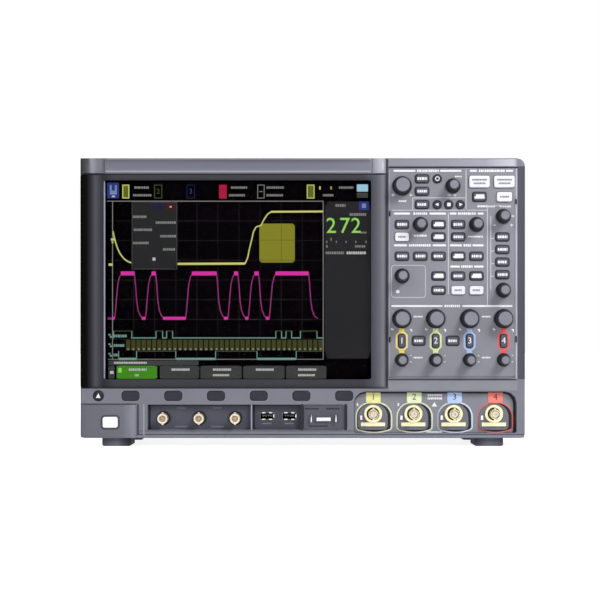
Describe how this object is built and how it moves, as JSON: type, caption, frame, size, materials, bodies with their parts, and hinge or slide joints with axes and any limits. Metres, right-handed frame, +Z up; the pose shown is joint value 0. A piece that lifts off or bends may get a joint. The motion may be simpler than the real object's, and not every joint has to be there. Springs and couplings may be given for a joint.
{
  "type": "mixed-signal oscilloscope",
  "caption": "Bench oscilloscope with logic inputs: wide display, knob and key panel, front signal sockets, tapered rear cover, folding handle.",
  "frame": {"origin": "centre of the footprint, on the surface the feet stand on", "axes": "+Z up, -Y out of the front with the display and controls, +X to the right as seen from the front"},
  "size_m": [0.425, 0.156, 0.2755],
  "materials": {
    "bezel_plastic": "fine moulded texture, dark violet grey",
    "cover_plastic": "fine moulded texture, dark grey",
    "faceplate_plastic": "satin, dark violet grey with white print",
    "knob_plastic": "soft-touch, near black",
    "key_rubber": "satin silicone, near black",
    "lit_key_plastic": "translucent white, lit from behind",
    "display_glass": "glossy cover glass over the lit screen",
    "sheet_steel": "bare sheet",
    "circuit_board": "solder mask",
    "gold_plated_brass": "gold plate, polished",
    "nickel_plated_brass": "pale plate, satin",
    "foot_rubber": "matt black",
    "tab_plastic": "matt black",
    "fan_plastic": "matt black"
  },
  "bodies": {
    "housing": {"chassis": "sheet_steel", "control_panel": "faceplate_plastic", "display_glass": "display_glass", "ext_trigger": "nickel_plated_brass", "fan_frame": "fan_plastic", "front_bezel": "bezel_plastic", "front_foot_left": "foot_rubber", "front_foot_right": "foot_rubber", "front_io_board": "circuit_board", "gen_out_1": "nickel_plated_brass", "gen_out_2": "nickel_plated_brass", "input_bnc_1": "gold_plated_brass", "input_bnc_2": "gold_plated_brass", "input_bnc_3": "gold_plated_brass", "input_bnc_4": "gold_plated_brass", "keypad_board": "circuit_board", "lcd_module": "sheet_steel", "main_board": "circuit_board", "power_supply": "sheet_steel", "rear_cover": "cover_plastic"},
    "carry_handle": {"carry_handle": "foot_rubber"},
    "tilt_tab_left": {"tilt_tab_left": "tab_plastic"},
    "tilt_tab_right": {"tilt_tab_right": "tab_plastic"},
    "fan_rotor": {"fan_rotor": "fan_plastic"},
    "cursors_knob": {"cursors_knob": "knob_plastic"},
    "entry_knob": {"entry_knob": "knob_plastic"},
    "horizontal_position_knob": {"horizontal_position_knob": "knob_plastic"},
    "horizontal_scale_knob": {"horizontal_scale_knob": "knob_plastic"},
    "position_knob_1": {"position_knob_1": "knob_plastic"},
    "position_knob_2": {"position_knob_2": "knob_plastic"},
    "position_knob_3": {"position_knob_3": "knob_plastic"},
    "position_knob_4": {"position_knob_4": "knob_plastic"},
    "scale_knob_1": {"scale_knob_1": "knob_plastic"},
    "scale_knob_2": {"scale_knob_2": "knob_plastic"},
    "scale_knob_3": {"scale_knob_3": "knob_plastic"},
    "scale_knob_4": {"scale_knob_4": "knob_plastic"},
    "shared_position_knob": {"shared_position_knob": "knob_plastic"},
    "shared_scale_knob": {"shared_scale_knob": "knob_plastic"},
    "trigger_level_knob": {"trigger_level_knob": "knob_plastic"},
    "auto_scale_key": {"auto_scale_key": "lit_key_plastic"},
    "back_key": {"back_key": "key_rubber"},
    "channel_key_1": {"channel_key_1": "lit_key_plastic"},
    "channel_key_2": {"channel_key_2": "lit_key_plastic"},
    "channel_key_3": {"channel_key_3": "lit_key_plastic"},
    "channel_key_4": {"channel_key_4": "lit_key_plastic"},
    "default_setup_key": {"default_setup_key": "lit_key_plastic"},
    "digital_key": {"digital_key": "key_rubber"},
    "horizontal_keys": {"horizontal_keys": "key_rubber"},
    "math_key": {"math_key": "key_rubber"},
    "navigate_keys": {"navigate_keys": "key_rubber"},
    "power_key": {"power_key": "lit_key_plastic"},
    "run_stop_key": {"run_stop_key": "lit_key_plastic"},
    "single_key": {"single_key": "lit_key_plastic"},
    "softkeys": {"softkeys": "key_rubber"},
    "source_keys": {"source_keys": "key_rubber"},
    "tools_keys": {"tools_keys": "key_rubber"},
    "trigger_keys": {"trigger_keys": "key_rubber"},
    "waveform_keys": {"waveform_keys": "key_rubber"},
    "zone_measure_keys": {"zone_measure_keys": "key_rubber"},
    "zoom_key": {"zoom_key": "key_rubber"}
  },
  "joints": [
    {"name": "carry_handle_fold", "type": "hinge", "parent": "housing", "child": "carry_handle", "pos_m": [0, 0.045, 0.26197], "axis": [-1, 0, 0], "range_deg": [0, 95]},
    {"name": "tilt_tab_left_flip", "type": "hinge", "parent": "housing", "child": "tilt_tab_left", "pos_m": [-0.1783, -0.0335, 0.00395], "axis": [-1, 0, 0], "range_deg": [0, 100]},
    {"name": "tilt_tab_right_flip", "type": "hinge", "parent": "housing", "child": "tilt_tab_right", "pos_m": [0.1783, -0.0335, 0.00395], "axis": [-1, 0, 0], "range_deg": [0, 100]},
    {"name": "fan_rotor_spin", "type": "hinge", "parent": "housing", "child": "fan_rotor", "pos_m": [-0.1075, 0.0554, 0.1499], "axis": [0, 1, 0], "continuous": true},
    {"name": "cursors_knob_turn", "type": "hinge", "parent": "housing", "child": "cursors_knob", "pos_m": [0.1659, -0.0632, 0.212], "axis": [0, -1, 0], "continuous": true},
    {"name": "entry_knob_turn", "type": "hinge", "parent": "housing", "child": "entry_knob", "pos_m": [0.0948, -0.0632, 0.1628], "axis": [0, -1, 0], "continuous": true},
    {"name": "horizontal_position_knob_turn", "type": "hinge", "parent": "housing", "child": "horizontal_position_knob", "pos_m": [0.1433, -0.0632, 0.2488], "axis": [0, -1, 0], "continuous": true},
    {"name": "horizontal_scale_knob_turn", "type": "hinge", "parent": "housing", "child": "horizontal_scale_knob", "pos_m": [0.0948, -0.0632, 0.2488], "axis": [0, -1, 0], "continuous": true},
    {"name": "position_knob_1_turn", "type": "hinge", "parent": "housing", "child": "position_knob_1", "pos_m": [0.0946, -0.0632, 0.0827], "axis": [0, -1, 0], "continuous": true},
    {"name": "position_knob_2_turn", "type": "hinge", "parent": "housing", "child": "position_knob_2", "pos_m": [0.127, -0.0632, 0.0827], "axis": [0, -1, 0], "continuous": true},
    {"name": "position_knob_3_turn", "type": "hinge", "parent": "housing", "child": "position_knob_3", "pos_m": [0.1594, -0.0632, 0.0827], "axis": [0, -1, 0], "continuous": true},
    {"name": "position_knob_4_turn", "type": "hinge", "parent": "housing", "child": "position_knob_4", "pos_m": [0.1918, -0.0632, 0.0827], "axis": [0, -1, 0], "continuous": true},
    {"name": "scale_knob_1_turn", "type": "hinge", "parent": "housing", "child": "scale_knob_1", "pos_m": [0.0946, -0.0632, 0.122], "axis": [0, -1, 0], "continuous": true},
    {"name": "scale_knob_2_turn", "type": "hinge", "parent": "housing", "child": "scale_knob_2", "pos_m": [0.127, -0.0632, 0.122], "axis": [0, -1, 0], "continuous": true},
    {"name": "scale_knob_3_turn", "type": "hinge", "parent": "housing", "child": "scale_knob_3", "pos_m": [0.1594, -0.0632, 0.122], "axis": [0, -1, 0], "continuous": true},
    {"name": "scale_knob_4_turn", "type": "hinge", "parent": "housing", "child": "scale_knob_4", "pos_m": [0.1918, -0.0632, 0.122], "axis": [0, -1, 0], "continuous": true},
    {"name": "shared_position_knob_turn", "type": "hinge", "parent": "housing", "child": "shared_position_knob", "pos_m": [0.1915, -0.0632, 0.1492], "axis": [0, -1, 0], "continuous": true},
    {"name": "shared_scale_knob_turn", "type": "hinge", "parent": "housing", "child": "shared_scale_knob", "pos_m": [0.1915, -0.0632, 0.2197], "axis": [0, -1, 0], "continuous": true},
    {"name": "trigger_level_knob_turn", "type": "hinge", "parent": "housing", "child": "trigger_level_knob", "pos_m": [0.1123, -0.0632, 0.212], "axis": [0, -1, 0], "continuous": true},
    {"name": "auto_scale_key_press", "type": "slide", "parent": "housing", "child": "auto_scale_key", "axis": [0, 1, 0], "range_m": [0, 0.0008], "stiffness_N_per_m": 400, "springref_m": -0.001},
    {"name": "back_key_press", "type": "slide", "parent": "housing", "child": "back_key", "axis": [0, 1, 0], "range_m": [0, 0.0008], "stiffness_N_per_m": 400, "springref_m": -0.001},
    {"name": "channel_key_1_press", "type": "slide", "parent": "housing", "child": "channel_key_1", "axis": [0, 1, 0], "range_m": [0, 0.0008], "stiffness_N_per_m": 400, "springref_m": -0.001},
    {"name": "channel_key_2_press", "type": "slide", "parent": "housing", "child": "channel_key_2", "axis": [0, 1, 0], "range_m": [0, 0.0008], "stiffness_N_per_m": 400, "springref_m": -0.001},
    {"name": "channel_key_3_press", "type": "slide", "parent": "housing", "child": "channel_key_3", "axis": [0, 1, 0], "range_m": [0, 0.0008], "stiffness_N_per_m": 400, "springref_m": -0.001},
    {"name": "channel_key_4_press", "type": "slide", "parent": "housing", "child": "channel_key_4", "axis": [0, 1, 0], "range_m": [0, 0.0008], "stiffness_N_per_m": 400, "springref_m": -0.001},
    {"name": "default_setup_key_press", "type": "slide", "parent": "housing", "child": "default_setup_key", "axis": [0, 1, 0], "range_m": [0, 0.0008], "stiffness_N_per_m": 400, "springref_m": -0.001},
    {"name": "digital_key_press", "type": "slide", "parent": "housing", "child": "digital_key", "axis": [0, 1, 0], "range_m": [0, 0.0008], "stiffness_N_per_m": 400, "springref_m": -0.001},
    {"name": "horizontal_keys_press", "type": "slide", "parent": "housing", "child": "horizontal_keys", "axis": [0, 1, 0], "range_m": [0, 0.0008], "stiffness_N_per_m": 400, "springref_m": -0.001},
    {"name": "math_key_press", "type": "slide", "parent": "housing", "child": "math_key", "axis": [0, 1, 0], "range_m": [0, 0.0008], "stiffness_N_per_m": 400, "springref_m": -0.001},
    {"name": "navigate_keys_press", "type": "slide", "parent": "housing", "child": "navigate_keys", "axis": [0, 1, 0], "range_m": [0, 0.0008], "stiffness_N_per_m": 400, "springref_m": -0.001},
    {"name": "power_key_press", "type": "slide", "parent": "housing", "child": "power_key", "axis": [0, 1, 0], "range_m": [0, 0.0008], "stiffness_N_per_m": 400, "springref_m": -0.001},
    {"name": "run_stop_key_press", "type": "slide", "parent": "housing", "child": "run_stop_key", "axis": [0, 1, 0], "range_m": [0, 0.0008], "stiffness_N_per_m": 400, "springref_m": -0.001},
    {"name": "single_key_press", "type": "slide", "parent": "housing", "child": "single_key", "axis": [0, 1, 0], "range_m": [0, 0.0008], "stiffness_N_per_m": 400, "springref_m": -0.001},
    {"name": "softkeys_press", "type": "slide", "parent": "housing", "child": "softkeys", "axis": [0, 1, 0], "range_m": [0, 0.0008], "stiffness_N_per_m": 400, "springref_m": -0.001},
    {"name": "source_keys_press", "type": "slide", "parent": "housing", "child": "source_keys", "axis": [0, 1, 0], "range_m": [0, 0.0008], "stiffness_N_per_m": 400, "springref_m": -0.001},
    {"name": "tools_keys_press", "type": "slide", "parent": "housing", "child": "tools_keys", "axis": [0, 1, 0], "range_m": [0, 0.0008], "stiffness_N_per_m": 400, "springref_m": -0.001},
    {"name": "trigger_keys_press", "type": "slide", "parent": "housing", "child": "trigger_keys", "axis": [0, 1, 0], "range_m": [0, 0.0008], "stiffness_N_per_m": 400, "springref_m": -0.001},
    {"name": "waveform_keys_press", "type": "slide", "parent": "housing", "child": "waveform_keys", "axis": [0, 1, 0], "range_m": [0, 0.0008], "stiffness_N_per_m": 400, "springref_m": -0.001},
    {"name": "zone_measure_keys_press", "type": "slide", "parent": "housing", "child": "zone_measure_keys", "axis": [0, 1, 0], "range_m": [0, 0.0008], "stiffness_N_per_m": 400, "springref_m": -0.001},
    {"name": "zoom_key_press", "type": "slide", "parent": "housing", "child": "zoom_key", "axis": [0, 1, 0], "range_m": [0, 0.0008], "stiffness_N_per_m": 400, "springref_m": -0.001}
  ]
}
